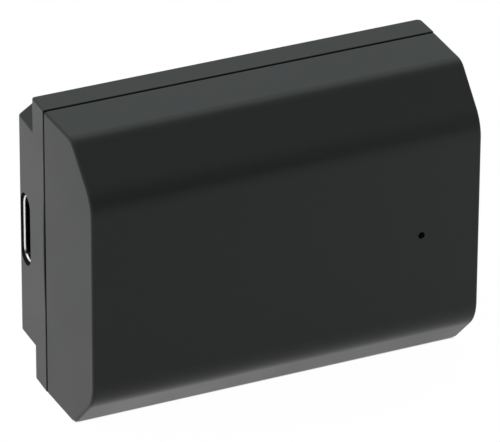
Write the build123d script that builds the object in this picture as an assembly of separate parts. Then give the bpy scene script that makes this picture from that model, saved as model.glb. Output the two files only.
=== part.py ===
from build123d import *
import math
import os

# A rechargeable camera battery: two round cells side by side in a welded two-part plastic case.
# It stands on one long side. X runs along its length, from the charging socket (-X) to the camera
# contacts (+X). Y runs through its thickness, from the bevelled front (-Y) to the stepped rear (+Y).
# Z is up. The origin is in the middle of its outline, on the surface that it stands on.
# All sizes are in millimetres, and the case is worked out from the cells that it holds.

# Cells
CELL_DIAMETER = 18.0        # over the sleeve
CELL_LENGTH = 47.5          # flat end to top of the cap
CELL_GAP = 0.1              # between the two cells
SLEEVE_THICKNESS = 0.1
CAN_EDGE_RADIUS = 0.9       # round edge of the flat end
CRIMP_RADIUS = 0.7          # round edge of the crimped end
CRIMP_WIDTH = 2.0           # rolled rim at the positive end
BEAD_DEPTH = 0.7            # groove that holds the cap
BEAD_WIDTH = 1.6
BEAD_SETBACK = 3.2          # middle of the groove from the cap
CAP_HEIGHT = 0.5            # cap above the crimped rim
CAP_DIAMETER = 9.0
CAP_TRENCH = 0.4            # sunk ring between rim and cap
CAP_SLOPE = 0.5             # run of the cap's sloping side
CAP_EDGE_RADIUS = 0.25
WASHER_THICKNESS = 0.2
WASHER_WIDTH = 1.6

# Case
WALL = 1.0
SIDE_ROOM = 0.3             # cell to the top and bottom walls
END_ROOM = 1.1              # cell to each end wall
BEVEL_ROOM = 0.39           # cell to the inside of a bevel
CELL_CLEARANCE = 0.1        # cell to ribs and to the step of the rear cover
SEAM_OFFSET = 3.42          # seam behind the cells' axes
SEAM_GAP = 0.35             # open groove between the two shells
SEAM_BOW = 0.25             # groove is wider by this much beside the socket
SEAM_BOW_LENGTH = 16.0      # length of that wider part
STEP_ANGLE = 43.5           # degrees round a cell from +Y to the step between flange and pad
LIP_LENGTH = 1.3            # tongue of the rear cover inside the front shell
LIP_CLEARANCE = 0.08
FRONT_END_TAPER = 0.26      # each end of the front shell leans in by this much
REAR_END_TAPER = 0.33       # the socket end of the rear cover leans in by this much
BEVEL_FRONT_RADIUS = 5.0    # bevel to front face
BEVEL_SIDE_RADIUS = 2.2     # bevel to top or bottom
EDGE_RADIUS = 0.36          # edges of the front shell's ends
SEAM_EDGE_RADIUS = 0.12
STEP_SOCKET_RADIUS = 0.35   # back edge of the flange at the socket end
STEP_CONTACT_RADIUS = 0.65  # back edge of the flange at the contact end
STEP_SIDE_RADIUS = 0.2      # back edges of the flange along its length
PAD_EDGE_RADIUS = 0.5       # back edges of the pad
PAD_CORNER_RADIUS = 0.4     # corners of the pad, through its thickness
PAD_CUT_LENGTH = 2.2        # slanted corners of the pad at the socket end, along X
PAD_CUT_WIDTH = 1.45        # the same along Z

# Ribs and bosses
RIB_COUNT = 3               # saddle ribs between the cells
RIB_PITCH = 12.5
RIB_SHIFT = -3.5            # middle rib from the middle of the case
RIB_THICKNESS = 1.2
RIB_TOP = 4.5               # tops of the saddle ribs in front of the cells' axes
STOP_WIDTH = 1.2            # ribs on the end walls that stop the cells
STOP_LENGTH = 7.0
STAKE_X = 12.0              # board stakes from the middle of the case
STAKE_INSET = 1.8           # stakes from the board's long edges
STAKE_DIAMETER = 1.2
STAKE_BOSS_DIAMETER = 2.6
STAKE_HEAD = 0.3            # stake beyond the board
STAKE_CLEARANCE = 0.05

# Charging socket
USB_WIDTH = 8.94            # steel shell, outside
USB_HEIGHT = 3.16
USB_LENGTH = 7.3
USB_SHEET = 0.3
USB_RECESS = 0.6            # mouth of the shell behind the end face
USB_LEAD_RADIUS = 0.2       # round inner edge of the mouth
USB_CLEARANCE = 0.05        # case to the flat sides of the shell
USB_END_CLEARANCE = 0.4     # case to the round ends of the shell
USB_LUG_LENGTH = 1.2
USB_LUG_REACH = 1.2         # lug beyond the side of the shell
USB_LUG_X = 2.0             # first lug from the mouth
USB_LUG_PITCH = 3.2
TONGUE_WIDTH = 6.69
TONGUE_THICKNESS = 0.7
TONGUE_SETBACK = 1.3        # tip behind the mouth of the shell
SOCKET_BODY_LENGTH = 1.6    # block that closes the back of the shell
SOCKET_FIT = 0.02
STRIP_COUNT = 12            # contact strips on each side of the tongue
STRIP_PITCH = 0.5
STRIP_WIDTH = 0.25
STRIP_LENGTH = 3.4
STRIP_THICKNESS = 0.08
STRIP_SETBACK = 0.85        # strip from the tip of the tongue

# Board and what lies between it and the cells
BOARD_THICKNESS = 0.8
BOARD_STANDOFF = 0.7        # board to the back wall
BOARD_SIDE_ROOM = 0.5
BOARD_END_ROOM = 1.55
BOARD_CUT_CLEARANCE = 0.15
FOAM_THICKNESS = 0.9
FOAM_WIDTH = 5.0
FOAM_RELIEF = 0.05          # foam to the crest of the cell
TAPE_THICKNESS = 0.3
TAPE_WIDTH = 3.0
TAPE_LENGTH = 40.0
TAPE_RELIEF = 0.02          # tape to the cell

# Nickel strips and end insulators
TAB_THICKNESS = 0.15
TAB_WIDTH = 4.5
TAB_GAP = 0.85              # tab beside the terminal block
TAB_REACH = 3.0             # strip beyond the cell's axis
TAB_FOLD = 2.6              # part soldered to the board
TAB_BEND_RADIUS = 0.4
LINK_OVERHANG = 4.0         # series link beyond each cell's axis
INSULATOR_THICKNESS = 0.2
INSULATOR_GAP = 0.35        # insulator to the lamp's flexible strip

# Charge lamp
LAMP_INSET = 8.12           # pinhole from the contact end
LAMP_DROP = 0.2             # pinhole below the middle height
LAMP_HOLE_DIAMETER = 0.9
GUIDE_CLEARANCE = 0.02
GUIDE_RECESS = 0.7          # clear pin behind the front face
GUIDE_FLANGE_DIAMETER = 1.9
GUIDE_FLANGE_THICKNESS = 0.35
LED_GAP = 0.1
LED_LENGTH = 1.6
LED_WIDTH = 0.8
LED_HEIGHT = 0.5
LED_BASE_HEIGHT = 0.2
LED_LENS_INSET = 0.2
LAMP_BOSS_WALL = 1.0
LAMP_POCKET_CLEARANCE = 0.15
FLEX_THICKNESS = 0.12
FLEX_WIDTH = 3.0
FLEX_PAD_LENGTH = 2.4       # part soldered to the board
FLEX_SLOPE = 1.2            # run of the dip under the terminal block
FLEX_DROP = 0.5             # flex below the terminal block
FLEX_OVERHANG = 1.6         # flex beyond the lamp
FLEX_END_GAP = 0.05         # flex to the ends of the cells
FLEX_BEND_RADIUS = 0.5

# Camera contacts
SLOT_COUNT = 5
SLOT_PITCH = 2.6
SLOT_WIDTH = 1.1
SLOT_LENGTH = 3.4
BLOCK_LENGTH = 4.4          # part of the block that shows in the back face
BLOCK_MARGIN = 0.9          # block beside the outer slots
BLOCK_GRIP = 0.8            # hidden rim that holds the block in the cover
BLOCK_CLEARANCE = 0.05
BLOCK_LIFT = 0.15           # block to the crests of the cells
CONTACT_SHEET = 0.25
CONTACT_SIDE_GAP = 0.03
CONTACT_MOUTH = 0.5         # contact behind the end and back faces
CONTACT_BACK_GAP = 0.2      # contact to the blind end of its slot
CONTACT_TAIL_WIDTH = 0.7
CONTACT_TAIL_OVERLAP = 1.8  # tail soldered to the board
TAIL_CLEARANCE = 0.05

# Board parts: place along X, place along Z from the middle height, length, width, height
CHARGE_CHIP = (-5.0, 0.0, 4.0, 4.0, 0.75)
COIL = (-11.5, 0.0, 4.0, 4.0, 2.0)
COIL_CORNER_RADIUS = 0.6
GUARD_CHIP = (5.5, 2.6, 2.9, 1.6, 1.1)
SWITCH_SIZE = (3.3, 3.3, 0.8)
SWITCH_X = 11.0
SWITCH_OFFSET = 2.6
FUSE = (5.5, -2.8, 3.2, 1.6, 0.8)
SENSOR = (1.2, -4.4, 1.6, 0.8, 0.8)
CAPACITOR_SIZE = (2.0, 1.25, 1.0)
CAPACITOR_PITCH = 3.2
CAPACITOR_ROW = 4.6         # two rows, this far from the middle height
CAPACITOR_COLUMNS = 3
CAPACITOR_X = -12.5
RESISTOR_SIZE = (1.6, 0.8, 0.45)
RESISTOR_PITCH = 1.5
RESISTOR_COLUMNS = 2
RESISTOR_ROWS = 3
RESISTOR_X = -0.7
CHIP_CAP_LENGTH = 0.35      # plated ends of the small parts
CHIP_CAP_STEP = 0.03
LEAD_WIDTH = 0.4
LEAD_PITCH = 0.95
LEAD_REACH = 0.6
LEAD_THICKNESS = 0.15
PACKAGE_CHAMFER = 0.15

# Places worked out from the sizes above
cell_radius = CELL_DIAMETER / 2
can_radius = cell_radius - SLEEVE_THICKNESS
cell_offset = (CELL_DIAMETER + CELL_GAP) / 2
cell_end = CELL_LENGTH / 2
length = CELL_LENGTH + 2 * (END_ROOM + WALL)
height = 2 * (CELL_DIAMETER + SIDE_ROOM + WALL) + CELL_GAP
board_stack = FOAM_THICKNESS + BOARD_THICKNESS + BOARD_STANDOFF
thickness = 2 * WALL + TAPE_THICKNESS + CELL_DIAMETER + board_stack

x_end = length / 2
z_mid = height / 2
z_upper = z_mid + cell_offset
z_lower = z_mid - cell_offset
y_front = -thickness / 2
y_back = thickness / 2
y_cell = y_front + WALL + TAPE_THICKNESS + cell_radius
y_crest = y_cell + cell_radius
y_seam = y_cell + SEAM_OFFSET
y_board_front = y_crest + FOAM_THICKNESS
y_board_back = y_board_front + BOARD_THICKNESS
y_socket = (y_board_front + y_board_back) / 2

step_radius = cell_radius + CELL_CLEARANCE
y_step = y_cell + step_radius * math.cos(math.radians(STEP_ANGLE)) + WALL
pad_half = cell_offset + step_radius * math.sin(math.radians(STEP_ANGLE)) + WALL

bevel_distance = cell_radius + BEVEL_ROOM + WALL
bevel_leg = (y_cell - y_front) + (height - z_upper) - math.sqrt(2) * bevel_distance

x_mouth = -x_end + USB_RECESS
x_socket_back = x_mouth + USB_LENGTH
x_board = x_end - WALL - BOARD_END_ROOM
board_half = pad_half - WALL - BOARD_SIDE_ROOM
stake_z = board_half - STAKE_INSET

block_half = (SLOT_COUNT - 1) * SLOT_PITCH / 2 + SLOT_WIDTH / 2 + BLOCK_MARGIN
y_block = y_crest + BLOCK_LIFT
x_block = x_end - BLOCK_LENGTH
x_grip = x_block - BLOCK_GRIP
y_slot = y_board_front - CONTACT_SHEET
x_board_notch = x_grip - BOARD_CUT_CLEARANCE
tab_offset = block_half + BLOCK_GRIP + TAB_GAP + TAB_WIDTH / 2
foam_length = 2 * (STAKE_X - STAKE_BOSS_DIAMETER)

x_lamp = x_end - LAMP_INSET
z_lamp = z_mid - LAMP_DROP
pocket_width = GUIDE_FLANGE_DIAMETER + 2 * LAMP_POCKET_CLEARANCE
pocket_length = max(GUIDE_FLANGE_DIAMETER, LED_LENGTH) + 2 * LAMP_POCKET_CLEARANCE
insulator_radius = cell_offset - LAMP_DROP - FLEX_WIDTH / 2 - INSULATOR_GAP
y_inner = y_front + WALL
y_led = y_inner + GUIDE_FLANGE_THICKNESS + LED_GAP
y_flex = y_led + LED_HEIGHT


# Basic shapes, each placed by its limits


def block(x_limits, y_limits, z_limits):
    limits = (x_limits, y_limits, z_limits)
    middle = [(low + high) / 2 for low, high in limits]
    size = [high - low for low, high in limits]
    return Pos(*middle) * Box(*size)


def around(middle, size):
    return (middle - size / 2, middle + size / 2)


# An outline drawn with its x along Y and its y along Z, given a thickness along X
def bar(outline, x_low, x_high):
    return extrude(Plane.YZ.offset(x_low) * outline, amount=x_high - x_low)


# An outline drawn with its x along X and its y along Z, given a thickness along Y
def slab(outline, y_low, y_high):
    return extrude(Plane.XZ.offset(-y_high) * outline, amount=y_high - y_low)


# An outline drawn with its x along X and its y along Y, given a thickness along Z
def column(outline, z_limits):
    z_low, z_high = z_limits
    return extrude(Plane.XY.offset(z_low) * outline, amount=z_high - z_low)


def post(x, z, diameter, y_low, y_high):
    return slab(Pos(x, z) * Circle(diameter / 2), y_low, y_high)


def group(solids):
    return Compound(children=[solid for item in solids for solid in item.solids()])


def cell_space():
    cores = [Pos(y_cell, z) * Circle(step_radius) for z in (z_lower, z_upper)]
    return bar(cores[0], -cell_end, cell_end) + bar(cores[1], -cell_end, cell_end)


# Case


def front_profile(y_open):
    points = [
        (y_open, 0),
        (y_front + bevel_leg, 0),
        (y_front, bevel_leg),
        (y_front, height - bevel_leg),
        (y_front + bevel_leg, height),
        (y_open, height),
    ]
    radii = [0, BEVEL_SIDE_RADIUS, BEVEL_FRONT_RADIUS, BEVEL_FRONT_RADIUS, BEVEL_SIDE_RADIUS, 0]
    return make_face(FilletPolyline(*points, radius=radii, close=True))


# The space between the two leaning ends of the front shell
def front_prism(inset):
    lean = FRONT_END_TAPER / (y_seam - y_front)
    y_limits = (y_front - WALL, y_step)
    low, high = [x_end - inset - lean * (y_seam - y) for y in y_limits]
    corners = [(-low, y_limits[0]), (low, y_limits[0]), (high, y_limits[1]), (-high, y_limits[1])]
    return column(make_face(Polyline(*corners, close=True)), (-WALL, height + WALL))


# The space between the leaning socket end and the square contact end of the rear cover
def rear_prism(inset):
    lean = REAR_END_TAPER / (y_back - y_seam)
    y_limits = (y_seam - LIP_LENGTH, y_back + WALL)
    low, high = [x_end - inset - lean * (y - y_seam) for y in y_limits]
    right = x_end - inset
    corners = [(-low, y_limits[0]), (right, y_limits[0]), (right, y_limits[1]), (-high, y_limits[1])]
    return column(make_face(Polyline(*corners, close=True)), (-WALL, height + WALL))


def case_outline(inset):
    return Pos(0, z_mid) * Rectangle(length - 2 * inset, height - 2 * inset)


# The pad's outline on the back. Its slanted corners run on past the socket end, which trims them.
def pad_outline():
    cut_x = PAD_CUT_LENGTH + REAR_END_TAPER - x_end
    far_x = -x_end - WALL
    far_half = pad_half - PAD_CUT_WIDTH * (cut_x - far_x) / PAD_CUT_LENGTH
    corners = [(far_x, far_half), (cut_x, pad_half), (x_end, pad_half)]
    corners += [(x, -half) for x, half in reversed(corners)]
    return Pos(0, z_mid) * make_face(Polyline(*corners, close=True))


def upright_edges(solid):
    return [edge for edge in solid.edges() if abs((edge @ 0).Y - (edge @ 1).Y) > WALL]


def front_shell():
    shell = bar(front_profile(y_seam), -x_end, x_end) & front_prism(0)
    ends = shell.faces().sort_by(Axis.X)
    end_edges = [edge for face in (ends[0], ends[-1]) for edge in face.edges()]
    end_edges = [edge for edge in end_edges if edge.center().Y < y_seam - SEAM_EDGE_RADIUS]
    shell = fillet(end_edges, EDGE_RADIUS)
    shell = fillet(shell.faces().sort_by(Axis.Y)[-1].edges(), SEAM_EDGE_RADIUS)
    cavity = offset(front_profile(y_step), -WALL)
    shell -= bar(cavity, -x_end, x_end) & front_prism(WALL)
    shell -= slab(case_outline(WALL / 2), y_seam - LIP_LENGTH, y_step)
    shell += saddle_ribs() + cell_stops() + lamp_boss()
    shell -= post(x_lamp, z_lamp, LAMP_HOLE_DIAMETER, y_front - WALL, y_inner)
    return shell


# Ribs in the valley between the cells, hollowed to their curve
def saddle_ribs():
    half = cell_offset - TAPE_WIDTH / 2 - CELL_CLEARANCE
    ribs = Part()
    for index in range(RIB_COUNT):
        x = RIB_SHIFT + (index - (RIB_COUNT - 1) / 2) * RIB_PITCH
        y_limits = (y_front + WALL / 2, y_cell - RIB_TOP)
        ribs += block(around(x, RIB_THICKNESS), y_limits, (z_mid - half, z_mid + half))
    return ribs - cell_space()


def cell_stops():
    tip = cell_end + TAB_THICKNESS + INSULATOR_THICKNESS + CELL_CLEARANCE
    root = x_end - WALL / 2 - FRONT_END_TAPER
    y_top = y_seam - LIP_LENGTH - LIP_CLEARANCE
    y_limits = (y_top - STOP_LENGTH, y_top)
    stops = Part()
    for z in (z_lower, z_upper):
        stops += block((tip, root), y_limits, around(z, STOP_WIDTH))
        stops += block((-root, -tip), y_limits, around(z, STOP_WIDTH))
    return stops


def lamp_boss():
    rim = 2 * LAMP_BOSS_WALL
    x_limits = around(x_lamp, pocket_length + rim)
    boss = block(x_limits, (y_front + WALL / 2, y_flex), around(z_lamp, pocket_width + rim))
    x_limits = around(x_lamp, pocket_length)
    return boss - block(x_limits, (y_inner, y_flex), around(z_lamp, pocket_width))


# The back edge of the flange at one end: -1 for the socket end, 1 for the contact end
def back_corner(flange, end):
    back = flange.faces().sort_by(Axis.Y)[-1]
    return back.edges().filter_by(Axis.Z).sort_by(Axis.X)[-1 if end > 0 else 0]


# The outline of the flange's top and bottom faces, without the rim
def long_edges(flange, y_rim):
    sides = flange.faces().sort_by(Axis.Z)
    edges = [edge for face in (sides[0], sides[-1]) for edge in face.edges()]
    return [edge for edge in edges if edge.center().Y > y_rim + SEAM_EDGE_RADIUS]


# A long shallow arc in the rim at the socket end, where the groove between the shells is widest
def seam_bow(y_rim):
    half = SEAM_BOW_LENGTH / 2
    radius = (half ** 2 + SEAM_BOW ** 2) / (2 * SEAM_BOW)
    arc = Pos(y_rim + SEAM_BOW - radius, z_mid) * Circle(radius)
    return bar(arc, -x_end - WALL, -x_end + 2 * WALL)


# The outer edges of the rim, without the inner edges that the arc leaves
def rim_edges(flange, y_rim):
    near = [edge for edge in flange.edges() if edge.center().Y < y_rim + 2 * SEAM_BOW]
    x_limit = x_end - WALL / 2
    z_limit = height / 2 - WALL / 2
    return [edge for edge in near
            if abs(edge.center().X) > x_limit or abs(edge.center().Z - z_mid) > z_limit]


def rear_cover():
    y_rim = y_seam + SEAM_GAP
    flange = slab(case_outline(0), y_rim, y_step) & rear_prism(0)
    flange = fillet(back_corner(flange, -1), STEP_SOCKET_RADIUS)
    flange = fillet(back_corner(flange, 1), STEP_CONTACT_RADIUS)
    flange = fillet(long_edges(flange, y_rim), STEP_SIDE_RADIUS)
    flange -= seam_bow(y_rim)
    flange = fillet(rim_edges(flange, y_rim), SEAM_EDGE_RADIUS)
    pad = slab(pad_outline(), y_rim + WALL / 2, y_back) & rear_prism(0)
    pad = fillet(upright_edges(pad), PAD_CORNER_RADIUS)
    pad = fillet(pad.faces().sort_by(Axis.Y)[-1].edges(), PAD_EDGE_RADIUS)
    cover = flange + pad
    pad_inside = offset(pad_outline(), -WALL, kind=Kind.INTERSECTION)
    cover -= slab(case_outline(WALL), y_seam, y_step - WALL) & rear_prism(WALL)
    cover -= slab(pad_inside, y_seam, y_back - WALL) & rear_prism(WALL)
    lip = case_outline(WALL / 2 + LIP_CLEARANCE) - case_outline(WALL)
    cover += slab(lip, y_seam - LIP_LENGTH, y_rim + WALL)
    cover -= cell_space()
    cover += board_stakes()
    cover -= socket_form(USB_CLEARANCE, USB_END_CLEARANCE, -x_end - WALL, x_socket_back + USB_CLEARANCE)
    cover -= block((x_block, x_end + WALL), (y_block, y_back + WALL), around(z_mid, 2 * block_half))
    return cover


def stake_places():
    return [(x, z_mid + side * stake_z) for x in (-STAKE_X, STAKE_X) for side in (-1, 1)]


def board_stakes():
    stakes = Part()
    for x, z in stake_places():
        stakes += post(x, z, STAKE_BOSS_DIAMETER, y_board_back, y_back - WALL / 2)
        stakes += post(x, z, STAKE_DIAMETER, y_board_front - STAKE_HEAD, y_board_back)
    return stakes


# Charging socket


# The socket's rounded outline, grown at its flat sides and its round ends, between two places along X
def socket_form(side_margin, end_margin, x_low, x_high):
    outline = SlotOverall(USB_WIDTH + 2 * end_margin, USB_HEIGHT + 2 * side_margin, rotation=90)
    return bar(Pos(y_socket, z_mid) * outline, x_low, x_high)


def usb_shell():
    shell = socket_form(0, 0, x_mouth, x_socket_back)
    lug_root = USB_WIDTH / 2 - USB_SHEET
    lug_tip = USB_WIDTH / 2 + USB_LUG_REACH
    for index in range(2):
        x = x_mouth + USB_LUG_X + index * USB_LUG_PITCH
        y_limits = (y_board_front - USB_SHEET, y_board_front)
        for low, high in ((lug_root, lug_tip), (-lug_tip, -lug_root)):
            shell += block((x, x + USB_LUG_LENGTH), y_limits, (z_mid + low, z_mid + high))
    shell -= socket_form(-USB_SHEET, -USB_SHEET, x_mouth, x_socket_back)
    mouth = shell.faces().sort_by(Axis.X)[0]
    return fillet(mouth.inner_wires()[0].edges(), USB_LEAD_RADIUS)


def usb_tongue():
    x_body = x_socket_back - SOCKET_BODY_LENGTH
    margin = -USB_SHEET - SOCKET_FIT
    body = socket_form(margin, margin, x_body, x_socket_back)
    tongue = block(
        (x_mouth + TONGUE_SETBACK, x_body),
        around(y_socket, TONGUE_THICKNESS),
        around(z_mid, TONGUE_WIDTH),
    )
    tip = tongue.faces().sort_by(Axis.X)[0].edges()
    return body + chamfer(tip, TONGUE_THICKNESS / 4)


def usb_contacts():
    x_tip = x_mouth + TONGUE_SETBACK + STRIP_SETBACK
    strips = []
    for side in (-1, 1):
        y = y_socket + side * (TONGUE_THICKNESS + STRIP_THICKNESS) / 2
        for index in range(STRIP_COUNT):
            z = z_mid + (index - (STRIP_COUNT - 1) / 2) * STRIP_PITCH
            x_limits = (x_tip, x_tip + STRIP_LENGTH)
            strips.append(block(x_limits, around(y, STRIP_THICKNESS), around(z, STRIP_WIDTH)))
    return group(strips)


# Cells and their strips


# A sealed can with a rolled bead, a crimped rim and a raised cap, along X with the cap at +X
def cell_can():
    rim_x = cell_end - CAP_HEIGHT
    bead_x = cell_end - BEAD_SETBACK
    bead_floor = can_radius - BEAD_DEPTH
    trench_x = rim_x - CAP_TRENCH
    cap_radius = CAP_DIAMETER / 2
    points = [
        (-cell_end, 0),
        (-cell_end, can_radius),
        (bead_x - BEAD_WIDTH / 2, can_radius),
        (bead_x, bead_floor),
        (bead_x + BEAD_WIDTH / 2, can_radius),
        (rim_x, can_radius),
        (rim_x, can_radius - CRIMP_WIDTH),
        (trench_x, can_radius - CRIMP_WIDTH),
        (trench_x, cap_radius + CAP_SLOPE),
        (cell_end, cap_radius),
        (cell_end, 0),
    ]
    radii = [0, CAN_EDGE_RADIUS, BEAD_DEPTH / 4, BEAD_DEPTH / 4, BEAD_DEPTH / 4, CRIMP_RADIUS]
    radii += [0, 0, 0, CAP_EDGE_RADIUS, 0]
    return revolve(make_face(FilletPolyline(*points, radius=radii, close=True)), axis=Axis.X)


def cell_sleeve():
    ring = Circle(cell_radius) - Circle(can_radius)
    return bar(ring, -cell_end + CAN_EDGE_RADIUS, cell_end - CAP_HEIGHT - CRIMP_RADIUS)


def cap_washer():
    outer = can_radius - CRIMP_RADIUS
    ring = Circle(outer) - Circle(outer - WASHER_WIDTH)
    rim_x = cell_end - CAP_HEIGHT
    return bar(ring, rim_x, rim_x + WASHER_THICKNESS)


# The upper cell has its cap at the contact end, the lower one at the socket end
def upper(piece):
    return Pos(0, y_cell, z_upper) * piece


def lower(piece):
    return Pos(0, y_cell, z_lower) * Rot(0, 0, 180) * piece


# A strip down the end of a cell, folded onto the front of the board, at the +X end
def folded_tab(y_low):
    x = cell_end + TAB_THICKNESS / 2
    y_fold = y_board_front - TAB_THICKNESS / 2
    path = FilletPolyline((x, y_low), (x, y_fold), (x - TAB_FOLD, y_fold), radius=[TAB_BEND_RADIUS])
    return trace(path, TAB_THICKNESS)


def positive_tab():
    return column(folded_tab(y_cell - TAB_REACH), around(z_mid + tab_offset, TAB_WIDTH))


def negative_tab():
    return column(folded_tab(y_cell - TAB_REACH), around(z_mid - tab_offset, TAB_WIDTH))


def series_link():
    z_limits = (z_lower - LINK_OVERHANG, z_upper + LINK_OVERHANG)
    x_limits = (cell_end, cell_end + TAB_THICKNESS)
    link = block(x_limits, around(y_cell, 2 * TAB_REACH), z_limits)
    link += column(folded_tab(y_cell), around(z_mid + tab_offset, TAB_WIDTH))
    return mirror(link, Plane.YZ)


def usb_end_insulator():
    x = -cell_end - TAB_THICKNESS
    width = 2 * insulator_radius
    outline = SlotOverall(2 * cell_offset + width, width, rotation=90)
    return bar(Pos(y_cell, z_mid) * outline, x - INSULATOR_THICKNESS, x)


def contact_end_insulators():
    x = cell_end + TAB_THICKNESS
    discs = []
    for z in (z_lower, z_upper):
        outline = Pos(y_cell, z) * Circle(insulator_radius)
        discs.append(bar(outline, x, x + INSULATOR_THICKNESS))
    return group(discs)


def cell_tape():
    y_limits = (y_inner, y_inner + TAPE_THICKNESS - TAPE_RELIEF)
    x_limits = around(0, TAPE_LENGTH)
    return group([block(x_limits, y_limits, around(z, TAPE_WIDTH)) for z in (z_lower, z_upper)])


def board_foam():
    y_limits = (y_crest + FOAM_RELIEF, y_board_front)
    x_limits = around(0, foam_length)
    return group([block(x_limits, y_limits, around(z, FOAM_WIDTH)) for z in (z_lower, z_upper)])


# Board


def main_board():
    outline = offset(pad_outline(), -WALL - BOARD_SIDE_ROOM, kind=Kind.INTERSECTION)
    outline &= Pos(0, z_mid) * Rectangle(2 * x_board, height)
    board = slab(outline, y_board_front, y_board_back)
    y_limits = (y_board_front, y_board_back)
    socket_width = USB_WIDTH + 2 * BOARD_CUT_CLEARANCE
    x_limits = (-x_end, x_socket_back + BOARD_CUT_CLEARANCE)
    board -= block(x_limits, y_limits, around(z_mid, socket_width))
    notch_width = 2 * (block_half + BLOCK_GRIP + BOARD_CUT_CLEARANCE)
    board -= block((x_board_notch, x_end), y_limits, around(z_mid, notch_width))
    for x, z in stake_places():
        board -= post(x, z, STAKE_DIAMETER + 2 * STAKE_CLEARANCE, y_board_front, y_board_back)
    return board


# A plain package on the front of the board, narrowed along its free edges
def package(place):
    x, offset_z, size_x, size_z, size_y = place
    y_limits = (y_board_front - size_y, y_board_front)
    body = block(around(x, size_x), y_limits, around(z_mid + offset_z, size_z))
    return chamfer(body.faces().sort_by(Axis.Y)[0].edges(), PACKAGE_CHAMFER)


# A small part with plated ends that stand a little proud of its body
def chip(place):
    x, offset_z, size_x, size_z, size_y = place
    z = z_mid + offset_z
    step = CHIP_CAP_STEP
    body_y = (y_board_front - size_y + step, y_board_front - step)
    part = block(around(x, size_x - 2 * CHIP_CAP_LENGTH), body_y, around(z, size_z - 2 * step))
    for side in (-1, 1):
        x_cap = x + side * (size_x - CHIP_CAP_LENGTH) / 2
        y_limits = (y_board_front - size_y, y_board_front)
        part += block(around(x_cap, CHIP_CAP_LENGTH), y_limits, around(z, size_z))
    return part


def charge_ic():
    return package(CHARGE_CHIP)


def inductor():
    x, offset_z, size_x, size_z, size_y = COIL
    outline = Pos(x, z_mid + offset_z) * RectangleRounded(size_x, size_z, COIL_CORNER_RADIUS)
    body = slab(outline, y_board_front - size_y, y_board_front)
    return chamfer(body.faces().sort_by(Axis.Y)[0].edges(), PACKAGE_CHAMFER)


# A small package on six feet
def protection_ic():
    x, offset_z, size_x, size_z, size_y = GUARD_CHIP
    part = package((x, offset_z, size_x, size_z, size_y))
    y_limits = (y_board_front - LEAD_THICKNESS, y_board_front)
    for index in range(3):
        x_lead = x + (index - 1) * LEAD_PITCH
        z_limits = around(z_mid + offset_z, size_z + 2 * LEAD_REACH)
        part += block(around(x_lead, LEAD_WIDTH), y_limits, z_limits)
    return part


def power_switches():
    return group([package((SWITCH_X, side * SWITCH_OFFSET, *SWITCH_SIZE)) for side in (-1, 1)])


def capacitors():
    chips = []
    for column_index in range(CAPACITOR_COLUMNS):
        x = CAPACITOR_X + column_index * CAPACITOR_PITCH
        for side in (-1, 1):
            chips.append(chip((x, side * CAPACITOR_ROW, *CAPACITOR_SIZE)))
    return group(chips)


def resistors():
    chips = []
    for column_index in range(RESISTOR_COLUMNS):
        x = RESISTOR_X + column_index * (RESISTOR_SIZE[0] + RESISTOR_PITCH / 2)
        for row in range(RESISTOR_ROWS):
            offset_z = (row - (RESISTOR_ROWS - 1) / 2) * RESISTOR_PITCH
            chips.append(chip((x, offset_z, *RESISTOR_SIZE)))
    return group(chips)


def thermistor():
    return chip(SENSOR)


def fuse():
    return chip(FUSE)


# Charge lamp


def light_guide():
    pin_diameter = LAMP_HOLE_DIAMETER - 2 * GUIDE_CLEARANCE
    pin = post(x_lamp, z_lamp, pin_diameter, y_front + GUIDE_RECESS, y_inner)
    y_flange = y_inner + GUIDE_FLANGE_THICKNESS
    return pin + post(x_lamp, z_lamp, GUIDE_FLANGE_DIAMETER, y_inner, y_flange)


def led():
    y_base = y_flex - LED_BASE_HEIGHT
    base = block(around(x_lamp, LED_LENGTH), (y_base, y_flex), around(z_lamp, LED_WIDTH))
    lens_length = LED_LENGTH - 2 * LED_LENS_INSET
    return base + block(around(x_lamp, lens_length), (y_led, y_base), around(z_lamp, LED_WIDTH))


# One strip from the board, under the terminal block, down the cells' ends and back to the lamp
def led_flex():
    half = FLEX_THICKNESS / 2
    x_tail = x_board_notch - CONTACT_TAIL_OVERLAP
    y_under = y_block - FLEX_DROP
    x_turn = cell_end + FLEX_END_GAP + half
    path = FilletPolyline(
        (x_tail - FLEX_SLOPE - FLEX_PAD_LENGTH, y_board_front - half),
        (x_tail - FLEX_SLOPE, y_board_front - half),
        (x_tail, y_under),
        (x_turn, y_under),
        (x_turn, y_flex + half),
        (x_lamp - FLEX_OVERHANG, y_flex + half),
        radius=FLEX_BEND_RADIUS,
    )
    return column(trace(path, FLEX_THICKNESS), around(z_lamp, FLEX_WIDTH))


# Camera contacts


def slot_places():
    return [z_mid + (index - (SLOT_COUNT - 1) / 2) * SLOT_PITCH for index in range(SLOT_COUNT)]


def terminal_block():
    gap = BLOCK_CLEARANCE
    x_limits = (x_block + gap, x_end)
    body = block(x_limits, (y_block + gap, y_back), around(z_mid, 2 * (block_half - gap)))
    x_limits = (x_grip, x_end - WALL - gap)
    y_limits = (y_block + gap, y_back - WALL - gap)
    body += block(x_limits, y_limits, around(z_mid, 2 * (block_half + BLOCK_GRIP)))
    for z in slot_places():
        x_limits = (x_end - SLOT_LENGTH, x_end)
        body -= block(x_limits, (y_slot, y_back), around(z, SLOT_WIDTH))
        y_limits = (y_slot, y_board_front + TAIL_CLEARANCE)
        tail_width = CONTACT_TAIL_WIDTH + 2 * TAIL_CLEARANCE
        body -= block((x_grip, x_end - SLOT_LENGTH), y_limits, around(z, tail_width))
    return body


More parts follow.
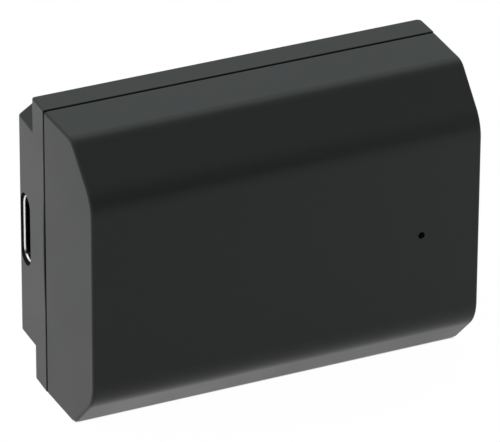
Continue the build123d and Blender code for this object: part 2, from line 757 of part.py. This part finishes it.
# A folded contact: a floor with two upright leaves, and a tail that lies on the board
def slot_contact(z):
    x_high = x_end - CONTACT_MOUTH
    x_low = x_end - SLOT_LENGTH + CONTACT_BACK_GAP
    half = SLOT_WIDTH / 2 - CONTACT_SIDE_GAP
    floor_y = (y_slot, y_board_front)
    part = block((x_low, x_high), floor_y, (z - half, z + half))
    leaf_y = (y_slot, y_back - CONTACT_MOUTH)
    part += block((x_low, x_high), leaf_y, (z - half, z - half + CONTACT_SHEET))
    part += block((x_low, x_high), leaf_y, (z + half - CONTACT_SHEET, z + half))
    x_tail = x_board_notch - CONTACT_TAIL_OVERLAP
    return part + block((x_tail, x_low), floor_y, around(z, CONTACT_TAIL_WIDTH))


def positive_contact():
    return slot_contact(slot_places()[-1])


def negative_contact():
    return slot_contact(slot_places()[0])


def signal_contacts():
    return group([slot_contact(z) for z in slot_places()[1:-1]])


def main():
    pieces = {
        "front_shell": front_shell(),
        "rear_cover": rear_cover(),
        "usb_shell": usb_shell(),
        "usb_tongue": usb_tongue(),
        "usb_contacts": usb_contacts(),
        "upper_cell": upper(cell_can()),
        "lower_cell": lower(cell_can()),
        "upper_sleeve": upper(cell_sleeve()),
        "lower_sleeve": lower(cell_sleeve()),
        "cap_washers": group([upper(cap_washer()), lower(cap_washer())]),
        "series_link": series_link(),
        "positive_tab": positive_tab(),
        "negative_tab": negative_tab(),
        "usb_end_insulator": usb_end_insulator(),
        "contact_end_insulators": contact_end_insulators(),
        "cell_tape": cell_tape(),
        "board_foam": board_foam(),
        "main_board": main_board(),
        "charge_ic": charge_ic(),
        "protection_ic": protection_ic(),
        "power_switches": power_switches(),
        "inductor": inductor(),
        "capacitors": capacitors(),
        "resistors": resistors(),
        "thermistor": thermistor(),
        "fuse": fuse(),
        "light_guide": light_guide(),
        "led": led(),
        "led_flex": led_flex(),
        "terminal_block": terminal_block(),
        "positive_contact": positive_contact(),
        "negative_contact": negative_contact(),
        "signal_contacts": signal_contacts(),
    }
    os.makedirs("parts", exist_ok=True)
    for name, piece in pieces.items():
        export_step(piece, os.path.join("parts", name + ".step"))
    print(f"{len(pieces)} pieces, case {length:.2f} x {thickness:.2f} x {height:.2f} mm")


main()
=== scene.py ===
import math

import bpy
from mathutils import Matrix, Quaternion, Vector


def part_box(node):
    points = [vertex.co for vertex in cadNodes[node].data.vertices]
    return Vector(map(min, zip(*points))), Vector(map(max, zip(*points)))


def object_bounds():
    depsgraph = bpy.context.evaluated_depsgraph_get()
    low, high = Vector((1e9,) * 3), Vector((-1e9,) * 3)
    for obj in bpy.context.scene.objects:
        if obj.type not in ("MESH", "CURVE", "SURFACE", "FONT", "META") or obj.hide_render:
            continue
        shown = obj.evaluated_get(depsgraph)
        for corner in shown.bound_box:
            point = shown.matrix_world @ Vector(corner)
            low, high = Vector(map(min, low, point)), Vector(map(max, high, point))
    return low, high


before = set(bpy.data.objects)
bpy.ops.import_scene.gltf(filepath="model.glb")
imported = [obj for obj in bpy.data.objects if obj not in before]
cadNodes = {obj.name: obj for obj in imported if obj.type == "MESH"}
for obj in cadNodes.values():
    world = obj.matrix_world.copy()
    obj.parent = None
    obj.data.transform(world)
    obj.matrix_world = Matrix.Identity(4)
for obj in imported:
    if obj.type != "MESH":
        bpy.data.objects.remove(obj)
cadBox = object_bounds()
print("frame loaded,", len(cadNodes), "pieces")

bpy.context.scene.view_settings.view_transform = "Standard"


# values and node helpers, shared by every finish

noiseSpan = (0.3, 0.7)  # nearly all of a noise lies between these
grainNoise = (3.0, 0.6)  # detail and roughness of a fine grain
colourSlots = (6, 7)  # a Mix node's two colours
colourResult = 2
borderHalf = 0.00001  # half of the soft border between two finishes on one piece


def startFinish(name):
    finish = bpy.data.materials.new(name)
    finish.use_nodes = True
    tree = finish.node_tree
    return finish, tree, tree.nodes["Principled BSDF"]


def addNode(tree, kind, values=None):
    node = tree.nodes.new("ShaderNode" + kind)
    for socket, value in (values or {}).items():
        node.inputs[socket].default_value = value
    return node


def setSockets(shader, values):
    for socket, value in values.items():
        shader.inputs[socket].default_value = value


def stretched(tree, scale=(1.0, 1.0, 1.0)):
    place = addNode(tree, "TexCoord")
    mapping = addNode(tree, "Mapping", {"Scale": scale})
    tree.links.new(place.outputs["Object"], mapping.inputs["Vector"])
    return mapping.outputs["Vector"]


def noise(tree, where, scale, detail=2.0, roughness=0.5):
    node = addNode(tree, "TexNoise", {"Scale": scale, "Detail": detail, "Roughness": roughness})
    tree.links.new(where, node.inputs["Vector"])
    return node.outputs["Fac"]


def ranged(tree, value, low, high, fromLow=noiseSpan[0], fromHigh=noiseSpan[1]):
    limits = {"From Min": fromLow, "From Max": fromHigh, "To Min": low, "To Max": high}
    node = addNode(tree, "MapRange", limits)
    tree.links.new(value, node.inputs["Value"])
    return node.outputs["Result"]


def blended(tree, value, dark, light, fromLow=noiseSpan[0], fromHigh=noiseSpan[1]):
    ramp = addNode(tree, "ValToRGB")
    tree.links.new(value, ramp.inputs["Fac"])
    ramp.color_ramp.elements[0].position = fromLow
    ramp.color_ramp.elements[0].color = (*dark, 1.0)
    ramp.color_ramp.elements[1].position = fromHigh
    ramp.color_ramp.elements[1].color = (*light, 1.0)
    return ramp.outputs["Color"]


def roughen(tree, shader, height, depth, under=None):
    bump = addNode(tree, "Bump", {"Distance": depth})
    tree.links.new(height, bump.inputs["Height"])
    if under is not None:
        tree.links.new(under, bump.inputs["Normal"])
    tree.links.new(bump.outputs["Normal"], shader.inputs["Normal"])
    return bump.outputs["Normal"]


def maths(tree, operation, first, second):
    node = addNode(tree, "Math")
    node.operation = operation
    for slot, value in enumerate((first, second)):
        if isinstance(value, float):
            node.inputs[slot].default_value = value
        else:
            tree.links.new(value, node.inputs[slot])
    return node.outputs[0]


def axisParts(tree):
    parts = addNode(tree, "SeparateXYZ")
    tree.links.new(stretched(tree), parts.inputs["Vector"])
    return parts.outputs


# how far a value lies outside a span, negative inside it
def beyond(tree, value, low, high):
    gap = maths(tree, "SUBTRACT", value, (low + high) / 2)
    return maths(tree, "SUBTRACT", maths(tree, "ABSOLUTE", gap, 0.0), (high - low) / 2)


# nothing before a border and one past it
def past(tree, value, border):
    return ranged(tree, value, 0.0, 1.0, border - borderHalf, border + borderHalf)


# one in the core of each round spot, falling to nothing at its rim
def spots(tree, places, radius, core=0.55):
    where = stretched(tree)
    nearest = None
    for place in places:
        gap = addNode(tree, "VectorMath", {1: place})
        gap.operation = "DISTANCE"
        tree.links.new(where, gap.inputs[0])
        reach = gap.outputs["Value"]
        nearest = reach if nearest is None else maths(tree, "MINIMUM", nearest, reach)
    return ranged(tree, nearest, 1.0, 0.0, core * radius, radius)


# one colour laid over another
def laidOver(tree, factor, below, above):
    mix = addNode(tree, "Mix")
    mix.data_type = "RGBA"
    tree.links.new(factor, mix.inputs["Factor"])
    for slot, value in zip(colourSlots, (below, above)):
        if isinstance(value, tuple):
            mix.inputs[slot].default_value = (*value, 1.0)
        else:
            tree.links.new(value, mix.inputs[slot])
    return mix.outputs[colourResult]


def dress(finish, *names):
    for name in names:
        mesh = cadNodes[name].data
        mesh.materials.clear()
        mesh.materials.append(finish)


# moulded case: matt dark grey with a fine spark-eroded grain

caseLook = {
    "dark": (0.0089, 0.0102, 0.0099),
    "light": (0.0105, 0.0121, 0.0117),
    "gloss": 0.165,
    "roughness": (0.31, 0.37),
    "grain": 5200.0,
    "grainDepth": 0.000004,
    "flow": 70.0,
}


def casePlastic(look):
    finish, tree, shader = startFinish("casePlastic")
    where = stretched(tree)
    grain = noise(tree, where, look["grain"], *grainNoise)
    flow = noise(tree, where, look["flow"])
    colour = blended(tree, grain, look["dark"], look["light"])
    tree.links.new(colour, shader.inputs["Base Color"])
    tree.links.new(ranged(tree, flow, *look["roughness"]), shader.inputs["Roughness"])
    setSockets(shader, {"Specular IOR Level": look["gloss"]})
    roughen(tree, shader, grain, look["grainDepth"])
    return finish


dress(casePlastic(caseLook), "front_shell", "rear_cover")
print("case dressed")


# charging socket and contacts: drawn steel, black plastic, gold strips

steelLook = {
    "dark": (0.74, 0.74, 0.73),
    "light": (0.90, 0.89, 0.88),
    # painted shade colour for the hollow of the shell and the spot on its rim
    "inside": (0.05, 0.05, 0.05),
    "rim": (0.00020, 0.00050),  # from the mouth: end of the bright rim, start of the painted shade inside
    "rimShadow": (-0.02510, 0.01023, 0.01564),  # a spot of painted shadow across the bright rim, at the joint where the rolled sheet meets itself
    "rimShadowReach": 0.00034,
    "sheet": 0.0003,  # the sheet's thickness, with a little to spare
    "halfFlat": 0.00289,  # half of the flat side between the round ends
    "roughness": (0.16, 0.26),
    "draw": (300.0, 4000.0, 4000.0),
    "grainDepth": 0.000001,
}

blackLook = {
    "dark": (0.008, 0.008, 0.009),
    "light": (0.014, 0.014, 0.015),
    "gloss": 0.4,
    "roughness": (0.34, 0.46),
    "grain": (3800.0, 3800.0, 3800.0),
    "grainDepth": 0.000003,
}

goldLook = {
    "dark": (0.72, 0.50, 0.20),
    "light": (0.86, 0.64, 0.30),
    "roughness": (0.16, 0.28),
    "draw": (2600.0, 2600.0, 2600.0),
    "grainDepth": 0.000001,
}


def metalFinish(name, look, dimples=None):
    finish, tree, shader = startFinish(name)
    grain = noise(tree, stretched(tree, look["draw"]), 1.0, *grainNoise)
    tree.links.new(blended(tree, grain, look["dark"], look["light"]), shader.inputs["Base Color"])
    tree.links.new(ranged(tree, grain, *look["roughness"]), shader.inputs["Roughness"])
    setSockets(shader, {"Metallic": 1.0})
    drawn = roughen(tree, shader, grain, look["grainDepth"])
    if dimples is not None:
        roughen(tree, shader, spots(tree, dimples, look["dimple"]), -look["dimpleDepth"], drawn)
    return finish


def grainFinish(name, look):
    finish, tree, shader = startFinish(name)
    grain = noise(tree, stretched(tree, look["grain"]), 1.0, *grainNoise)
    tree.links.new(blended(tree, grain, look["dark"], look["light"]), shader.inputs["Base Color"])
    tree.links.new(ranged(tree, grain, *look["roughness"]), shader.inputs["Roughness"])
    setSockets(shader, {"Specular IOR Level": look["gloss"]})
    roughen(tree, shader, grain, look["grainDepth"])
    return finish


# the shell keeps its bright rim; further in, and in a spot at the joint of its sheet, painted shade
# darkens it
def paintShadeInside(finish, look):
    tree = finish.node_tree
    colour = tree.nodes["Principled BSDF"].inputs["Base Color"]
    low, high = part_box("usb_shell")
    parts = axisParts(tree)
    start, end = look["rim"]
    deep = ranged(tree, parts["X"], 0.0, 1.0, low[0] + start, low[0] + end)
    middleY = (low[1] + high[1]) / 2
    middleZ = (low[2] + high[2]) / 2
    outY = beyond(tree, parts["Y"], middleY, middleY)
    outZ = beyond(tree, parts["Z"], middleZ - look["halfFlat"], middleZ + look["halfFlat"])
    outZ = maths(tree, "MAXIMUM", outZ, 0.0)
    squareY = maths(tree, "MULTIPLY", outY, outY)
    squareZ = maths(tree, "MULTIPLY", outZ, outZ)
    square = maths(tree, "ADD", squareY, squareZ)
    wall = (high[1] - low[1] - look["sheet"]) / 2
    inside = maths(tree, "LESS_THAN", square, wall * wall)
    # painted shade: deep in the hollow, and in a spot across the rim at the sheet's joint
    paintedShade = maths(tree, "MAXIMUM", deep, spots(tree, [look["rimShadow"]], look["rimShadowReach"]))
    shadeMask = maths(tree, "MULTIPLY", inside, paintedShade)
    tree.links.new(laidOver(tree, shadeMask, colour.links[0].from_socket, look["inside"]), colour)
    return finish


dress(paintShadeInside(metalFinish("socketSteel", steelLook), steelLook), "usb_shell")
dress(grainFinish("blackPlastic", blackLook), "usb_tongue", "terminal_block")
dress(
    metalFinish("goldContact", goldLook),
    "usb_contacts", "positive_contact", "negative_contact", "signal_contacts",
)
print("socket and contacts dressed")


# cells: nickel-plated cans in shrink film, with paper rings round the caps

canLook = {
    "dark": (0.52, 0.51, 0.48),
    "light": (0.68, 0.67, 0.64),
    "roughness": (0.22, 0.38),
    "draw": (140.0, 3200.0, 3200.0),
    "grainDepth": 0.000001,
}

sleeveLook = {
    "dark": (0.055, 0.155, 0.235),
    "light": (0.070, 0.185, 0.275),
    "gloss": 0.5,
    "roughness": (0.22, 0.34),
    "grain": (70.0, 520.0, 520.0),
    "grainDepth": 0.00003,
}

paperLook = {
    "dark": (0.36, 0.43, 0.35),
    "light": (0.47, 0.53, 0.44),
    "gloss": 0.25,
    "roughness": (0.62, 0.80),
    "grain": (900.0, 2600.0, 700.0),
    "grainDepth": 0.000008,
}

tapeLook = {
    "dark": (0.62, 0.58, 0.47),
    "light": (0.72, 0.68, 0.57),
    "gloss": 0.35,
    "roughness": (0.40, 0.55),
    "grain": (220.0, 1500.0, 1500.0),
    "grainDepth": 0.000006,
}

dress(metalFinish("cellCan", canLook), "upper_cell", "lower_cell")
dress(grainFinish("shrinkFilm", sleeveLook), "upper_sleeve", "lower_sleeve")
dress(
    grainFinish("insulatingPaper", paperLook),
    "cap_washers", "usb_end_insulator", "contact_end_insulators",
)
dress(grainFinish("cellTape", tapeLook), "cell_tape")


# nickel strips: rolled sheet with four weld dimples over each cell's end

stripLook = {
    "dark": (0.58, 0.56, 0.51),
    "light": (0.72, 0.70, 0.65),
    "roughness": (0.24, 0.40),
    "draw": (2400.0, 2400.0, 240.0),
    "grainDepth": 0.000001,
    "dimple": 0.00055,
    "dimpleDepth": 0.00009,
    "dimpleSpread": 0.0011,
}


def weldPlaces(look, cell, strip):
    low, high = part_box(cell)
    stripLow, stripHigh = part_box(strip)
    x = stripLow[0] if stripLow[0] < low[0] else stripHigh[0]
    y = (low[1] + high[1]) / 2
    z = (low[2] + high[2]) / 2
    steps = (-look["dimpleSpread"], look["dimpleSpread"])
    return [(x, y + stepY, z + stepZ) for stepY in steps for stepZ in steps]


linkWelds = weldPlaces(stripLook, "upper_cell", "series_link")
linkWelds += weldPlaces(stripLook, "lower_cell", "series_link")
dress(metalFinish("seriesLink", stripLook, linkWelds), "series_link")
for tabName in ("positive_tab", "negative_tab"):
    tabMiddle = sum(corner[2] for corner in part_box(tabName)) / 2
    tabCell = "upper_cell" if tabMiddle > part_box("upper_cell")[0][2] else "lower_cell"
    dress(metalFinish(tabName, stripLook, weldPlaces(stripLook, tabCell, tabName)), tabName)
print("cells and strips dressed")


# foam strips: open dark cells, each painted darker in its hollow middle as shade

foamLook = {
    "dark": (0.010, 0.010, 0.011),
    "light": (0.036, 0.036, 0.038),
    "gloss": 0.2,
    "roughness": 0.92,
    "cells": 2600.0,
    "cellSpan": (0.1, 0.8),  # from the middle of a cell, where painted shade is darkest, to its wall
    "cellDepth": 0.00018,
}


def foamFinish(look):
    finish, tree, shader = startFinish("boardFoam")
    cells = addNode(tree, "TexVoronoi", {"Scale": look["cells"]})
    tree.links.new(stretched(tree), cells.inputs["Vector"])
    hollow = cells.outputs["Distance"]
    # painted shade: the colour darkens towards each cell's hollow middle
    colour = blended(tree, hollow, look["dark"], look["light"], *look["cellSpan"])
    tree.links.new(colour, shader.inputs["Base Color"])
    setSockets(shader, {"Roughness": look["roughness"], "Specular IOR Level": look["gloss"]})
    roughen(tree, shader, hollow, look["cellDepth"])
    return finish


dress(foamFinish(foamLook), "board_foam")


# board: green mask over copper, tinned holes, and bare laminate at its cut edges

boardLook = {
    "mask": (0.010, 0.095, 0.040),
    "copper": (0.022, 0.150, 0.062),
    "laminate": (0.40, 0.36, 0.22),
    "tin": (0.66, 0.64, 0.58),
    "track": (0.0052, 0.00062),  # length of a track, pitch of the rows
    "gap": 0.00007,
    "areas": 210.0,
    "bare": (0.46, 0.50),  # noise level where plain copper gives way to tracks
    "holes": 520.0,
    "holeScatter": 0.8,
    "holeRim": (0.10, 0.13),  # share of the pitch where the tin ends
    "gloss": 0.5,
    "weave": 2400.0,
    "roughness": (0.28, 0.36),
    "trackDepth": 0.00003,
    "skin": 0.00006,  # depth of the mask on each face
}


def boardFinish(look):
    finish, tree, shader = startFinish("boardLaminate")
    low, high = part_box("main_board")
    flat = stretched(tree, (1.0, 0.0, 1.0))
    parts = axisParts(tree)
    plan = addNode(tree, "CombineXYZ")
    tree.links.new(parts["X"], plan.inputs["X"])
    tree.links.new(parts["Z"], plan.inputs["Y"])
    trackLength, trackPitch = look["track"]
    rows = {"Scale": 1.0, "Brick Width": trackLength, "Row Height": trackPitch, "Mortar Size": look["gap"]}
    gaps = addNode(tree, "TexBrick", rows)
    tree.links.new(plan.outputs["Vector"], gaps.inputs["Vector"])
    tracked = ranged(tree, noise(tree, flat, look["areas"]), 0.0, 1.0, *look["bare"])
    copper = maths(tree, "SUBTRACT", 1.0, maths(tree, "MULTIPLY", gaps.outputs["Fac"], tracked))
    holes = addNode(tree, "TexVoronoi", {"Scale": look["holes"], "Randomness": look["holeScatter"]})
    tree.links.new(flat, holes.inputs["Vector"])
    tinned = ranged(tree, holes.outputs["Distance"], 1.0, 0.0, *look["holeRim"])
    face = laidOver(tree, copper, look["mask"], look["copper"])
    face = laidOver(tree, tinned, face, look["tin"])
    depth = beyond(tree, parts["Y"], low[1] + look["skin"], high[1] - look["skin"])
    edge = ranged(tree, depth, 1.0, 0.0, -borderHalf, borderHalf)
    tree.links.new(laidOver(tree, edge, face, look["laminate"]), shader.inputs["Base Color"])
    weave = noise(tree, flat, look["weave"])
    tree.links.new(ranged(tree, weave, *look["roughness"]), shader.inputs["Roughness"])
    setSockets(shader, {"Specular IOR Level": look["gloss"]})
    roughen(tree, shader, copper, look["trackDepth"])
    return finish


dress(boardFinish(boardLook), "main_board")


# board parts: moulded resin packages, ferrite, and ceramic chips with plated ends

resinLook = {
    "dark": (0.011, 0.011, 0.012),
    "light": (0.021, 0.021, 0.022),
    "gloss": 0.4,
    "roughness": (0.46, 0.60),
    "grain": (4200.0, 4200.0, 4200.0),
    "grainDepth": 0.000004,
}

ferriteLook = {
    "dark": (0.055, 0.056, 0.058),
    "light": (0.105, 0.106, 0.108),
    "gloss": 0.35,
    "roughness": (0.58, 0.74),
    "grain": (2600.0, 2600.0, 2600.0),
    "grainDepth": 0.00001,
}

platingLook = {"colour": (0.68, 0.67, 0.64), "roughness": 0.28}

ceramicLook = {"grain": (3000.0, 3000.0, 3000.0), "grainDepth": 0.000004, "roughness": 0.55}

chipLooks = {
    "capacitors": {"axis": "X", "length": 0.0020, "pitch": 0.0032, "plated": 0.00035,
                   "dark": (0.24, 0.155, 0.085), "light": (0.32, 0.21, 0.12)},
    "resistors": {"axis": "X", "length": 0.0016, "pitch": 0.00235, "plated": 0.00035,
                  "dark": (0.016, 0.016, 0.018), "light": (0.030, 0.030, 0.032)},
    "thermistor": {"axis": "X", "length": 0.0016, "pitch": 0.0016, "plated": 0.00035,
                   "dark": (0.035, 0.075, 0.060), "light": (0.050, 0.098, 0.080)},
    "fuse": {"axis": "X", "length": 0.0032, "pitch": 0.0032, "plated": 0.00035,
             "dark": (0.52, 0.55, 0.50), "light": (0.64, 0.67, 0.61)},
    "protection_ic": {"axis": "Z", "length": 0.0028, "pitch": 0.0028, "plated": 0.0006,
                      "dark": (0.011, 0.011, 0.012), "light": (0.021, 0.021, 0.022)},
}


# the plating starts at a set distance from each end, along the row that the chips stand in
def chipFinish(name, look, ceramic, plating):
    finish, tree, shader = startFinish(name)
    grain = noise(tree, stretched(tree, ceramic["grain"]), 1.0, *grainNoise)
    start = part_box(name)[0]["XYZ".index(look["axis"])] + look["length"] / 2
    along = maths(tree, "SUBTRACT", axisParts(tree)[look["axis"]], start)
    fold = maths(tree, "PINGPONG", along, look["pitch"] / 2)
    bare = look["length"] / 2 - look["plated"]
    plated = past(tree, fold, bare)
    body = blended(tree, grain, look["dark"], look["light"])
    tree.links.new(laidOver(tree, plated, body, plating["colour"]), shader.inputs["Base Color"])
    tree.links.new(plated, shader.inputs["Metallic"])
    roughness = ranged(tree, plated, ceramic["roughness"], plating["roughness"], 0.0, 1.0)
    tree.links.new(roughness, shader.inputs["Roughness"])
    roughen(tree, shader, grain, ceramic["grainDepth"])
    return finish


dress(grainFinish("packageResin", resinLook), "charge_ic", "power_switches")
dress(grainFinish("coilFerrite", ferriteLook), "inductor")
for chipName, chipLook in chipLooks.items():
    dress(chipFinish(chipName, chipLook, ceramicLook, platingLook), chipName)
print("board dressed")


# charge lamp: milky lens on a pale base, amber strip with tracks, smoky pin in the hole

lensLook = {
    "base": (0.70, 0.68, 0.62),
    "lens": (0.86, 0.80, 0.58),
    "lensShare": 0.6,  # the rest is the base
    "haze": 2200.0,
    "roughness": (0.24, 0.36),
    "milk": 0.3,
    "milkDepth": 0.0003,
}

flexLook = {
    "film": (0.36, 0.150, 0.022),
    "track": (0.50, 0.235, 0.050),
    "pitch": 0.0010,
    "trackWidth": 0.0006,
    "trackEdge": 0.00002,
    "haze": 900.0,
    "roughness": (0.30, 0.42),
    "trackDepth": 0.00002,
}

pinLook = {
    "dark": (0.050, 0.052, 0.056),
    "light": (0.070, 0.072, 0.076),
    "haze": 1800.0,
    "roughness": (0.10, 0.20),
    "clear": 0.85,
    "bend": 1.49,
}


def lensFinish(look):
    finish, tree, shader = startFinish("lampLens")
    low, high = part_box("led")
    split = low[1] + look["lensShare"] * (high[1] - low[1])
    base = past(tree, axisParts(tree)["Y"], split)
    tree.links.new(laidOver(tree, base, look["lens"], look["base"]), shader.inputs["Base Color"])
    haze = noise(tree, stretched(tree), look["haze"])
    tree.links.new(ranged(tree, haze, *look["roughness"]), shader.inputs["Roughness"])
    setSockets(shader, {"Subsurface Weight": look["milk"], "Subsurface Scale": look["milkDepth"]})
    return finish


def flexFinish(look):
    finish, tree, shader = startFinish("lampFlex")
    low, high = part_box("led_flex")
    across = maths(tree, "SUBTRACT", axisParts(tree)["Z"], (low[2] + high[2]) / 2)
    halfPitch = look["pitch"] / 2
    halfTrack = look["trackWidth"] / 2
    fold = maths(tree, "PINGPONG", maths(tree, "ADD", across, halfPitch), halfPitch)
    border = (halfTrack - look["trackEdge"], halfTrack + look["trackEdge"])
    track = ranged(tree, fold, 1.0, 0.0, *border)
    tree.links.new(laidOver(tree, track, look["film"], look["track"]), shader.inputs["Base Color"])
    haze = noise(tree, stretched(tree), look["haze"])
    tree.links.new(ranged(tree, haze, *look["roughness"]), shader.inputs["Roughness"])
    roughen(tree, shader, track, look["trackDepth"])
    return finish


def pinFinish(look):
    finish, tree, shader = startFinish("lightGuide")
    haze = noise(tree, stretched(tree), look["haze"])
    tree.links.new(blended(tree, haze, look["dark"], look["light"]), shader.inputs["Base Color"])
    tree.links.new(ranged(tree, haze, *look["roughness"]), shader.inputs["Roughness"])
    setSockets(shader, {"Transmission Weight": look["clear"], "IOR": look["bend"]})
    return finish


dress(lensFinish(lensLook), "led")
dress(flexFinish(flexLook), "led_flex")
dress(pinFinish(pinLook), "light_guide")
print("charge lamp dressed")


# floor: a wide white disc, lit by the lamps and topped up for what sees it directly, with a painted
# contact shadow where the top-up is taken away round the battery's foot

floorLook = {
    "radius": 1.6,
    "sides": 96,
    "drop": 0.00002,  # keeps it clear of the battery's underside
    "colour": (0.88, 0.88, 0.87),
    "roughness": 0.9,
    "topUp": 0.985,
    "contact": (-0.0053, 0.0065),  # edges of the painted contact shadow, where the battery stands, from front to back
    "contactInset": 0.00035,  # the rounding at its two ends
    "contactReach": 0.0001,
}


def seenDirectly(tree):
    path = addNode(tree, "LightPath").outputs
    seen = maths(tree, "MAXIMUM", path["Is Camera Ray"], path["Is Glossy Ray"])
    return maths(tree, "MAXIMUM", seen, path["Is Transmission Ray"])


# painted contact shadow: nothing under the battery, where no light gets in, and one all round it
def openFloor(tree, look):
    parts = axisParts(tree)
    inset = look["contactInset"]
    outX = beyond(tree, parts["X"], cadBox[0][0] + inset, cadBox[1][0] - inset)
    outY = beyond(tree, parts["Y"], *look["contact"])
    reach = look["contactReach"]
    return ranged(tree, maths(tree, "MAXIMUM", outX, outY), 0.0, 1.0, -reach, reach)


def layFloor(look):
    bpy.ops.mesh.primitive_circle_add(vertices=look["sides"], radius=look["radius"], fill_type="NGON")
    floor = bpy.context.object
    floor.name = "floor"
    for vertex in floor.data.vertices:
        vertex.co.z = -look["drop"]
    finish, tree, shader = startFinish("paleFloor")
    setSockets(shader, {"Base Color": (*look["colour"], 1.0), "Roughness": look["roughness"]})
    setSockets(shader, {"Specular IOR Level": 0.0})
    glow = addNode(tree, "Emission", {"Strength": 1.0})
    share = maths(tree, "MULTIPLY", seenDirectly(tree), openFloor(tree, look))
    mix = addNode(tree, "MixShader")
    tree.links.new(maths(tree, "MULTIPLY", share, look["topUp"]), mix.inputs["Fac"])
    tree.links.new(shader.outputs["BSDF"], mix.inputs[1])
    tree.links.new(glow.outputs["Emission"], mix.inputs[2])
    tree.links.new(mix.outputs["Shader"], tree.nodes["Material Output"].inputs["Surface"])
    floor.data.materials.append(finish)


layFloor(floorLook)


# room: pale behind and overhead, with one bright sheet, and grey where the camera stands

roomLook = {
    "backdrop": (0.86, 0.90, 0.91),
    "softBox": (1.82, 1.89, 1.91),  # bright sheet overhead, behind the battery
    "softBoxEdge": (0.5, 0.8),
    "backdropEdge": (-0.05, 0.30),  # where it begins overhead and where it is full
    "ceiling": (0.90, 0.93, 0.94),
    "ceilingEdge": (0.2, 0.8),
    "front": (0.37, 0.38, 0.38),
    "fill": (0.95, 0.98, 1.0),  # what the room adds to matt surfaces
    "fillStrength": 0.14,
}


def paintRoom(look):
    world = bpy.data.worlds.new("room")
    bpy.context.scene.world = world
    world.use_nodes = True
    tree = world.node_tree
    background = tree.nodes["Background"]
    setSockets(background, {"Strength": 1.0})
    place = addNode(tree, "TexCoord")
    parts = addNode(tree, "SeparateXYZ")
    tree.links.new(place.outputs["Generated"], parts.inputs["Vector"])
    upward = blended(tree, parts.outputs["Z"], look["front"], look["ceiling"], *look["ceilingEdge"])
    backward = ranged(tree, parts.outputs["Y"], 0.0, 1.0, *look["backdropEdge"])
    overhead = ranged(tree, parts.outputs["Z"], 0.0, 1.0, *look["softBoxEdge"])
    behind = laidOver(tree, overhead, look["backdrop"], look["softBox"])
    tree.links.new(laidOver(tree, backward, upward, behind), background.inputs["Color"])
    fill = addNode(tree, "Background", {"Color": (*look["fill"], 1.0), "Strength": look["fillStrength"]})
    mix = addNode(tree, "MixShader")
    tree.links.new(seenDirectly(tree), mix.inputs["Fac"])
    tree.links.new(fill.outputs["Background"], mix.inputs[1])
    tree.links.new(background.outputs["Background"], mix.inputs[2])
    tree.links.new(mix.outputs["Shader"], tree.nodes["World Output"].inputs["Surface"])


paintRoom(roomLook)


# lamps: soft boxes, each aimed at the middle of the battery

lampLooks = {
    "keyBox": {"at": (0.55, 0.45, 0.95), "size": 0.5, "power": 9.0, "colour": (0.97, 0.99, 1.0)},
    "sideBox": {"at": (-0.85, 0.12, 0.45), "size": 0.7, "power": 18.0, "colour": (1.0, 0.96, 0.93)},
    "frontBox": {"at": (0.075, -0.075, 0.03), "size": 0.05, "power": 0.045, "colour": (1.0, 1.0, 0.99)},
}


def hangLamp(name, look, aim):
    bpy.ops.object.light_add(type="AREA", location=look["at"])
    lamp = bpy.context.object
    lamp.name = name
    lamp.data.shape = "SQUARE"
    lamp.data.size = look["size"]
    lamp.data.energy = look["power"]
    lamp.data.color = look["colour"]
    lamp.visible_glossy = False
    lamp.visible_camera = False
    lamp.rotation_mode = "QUATERNION"
    lamp.rotation_quaternion = (aim - Vector(look["at"])).to_track_quat("-Z", "Y")


batteryMiddle = (Vector(cadBox[0]) + Vector(cadBox[1])) / 2
for lampName, lampLook in lampLooks.items():
    hangLamp(lampName, lampLook, batteryMiddle)
print("stage lit")


# camera: a long lens, in front and towards the socket end, looking down

cameraLook = {
    "azimuth": -24.658,
    "elevation": 28.545,
    "roll": 0.298,
    "distance": 0.7115,
    "target": (0.00007, 0.0, 0.01940),
    "lens": 421.52,
    "sensor": 36.0,
    "clipStart": 0.01,
}


def aimCamera(look):
    turn = math.radians(look["azimuth"])
    lift = math.radians(look["elevation"])
    outward = Vector((math.sin(turn) * math.cos(lift), -math.cos(turn) * math.cos(lift), math.sin(lift)))
    spot = Vector(look["target"]) + outward * look["distance"]
    bpy.ops.object.camera_add(location=spot)
    camera = bpy.context.object
    camera.name = "photoCamera"
    camera.data.lens = look["lens"]
    camera.data.sensor_width = look["sensor"]
    camera.data.clip_start = look["clipStart"]
    camera.rotation_mode = "QUATERNION"
    roll = Quaternion((0.0, 0.0, 1.0), math.radians(look["roll"]))
    camera.rotation_quaternion = (-outward).to_track_quat("-Z", "Y") @ roll
    bpy.context.scene.camera = camera


aimCamera(cameraLook)
print("camera set")
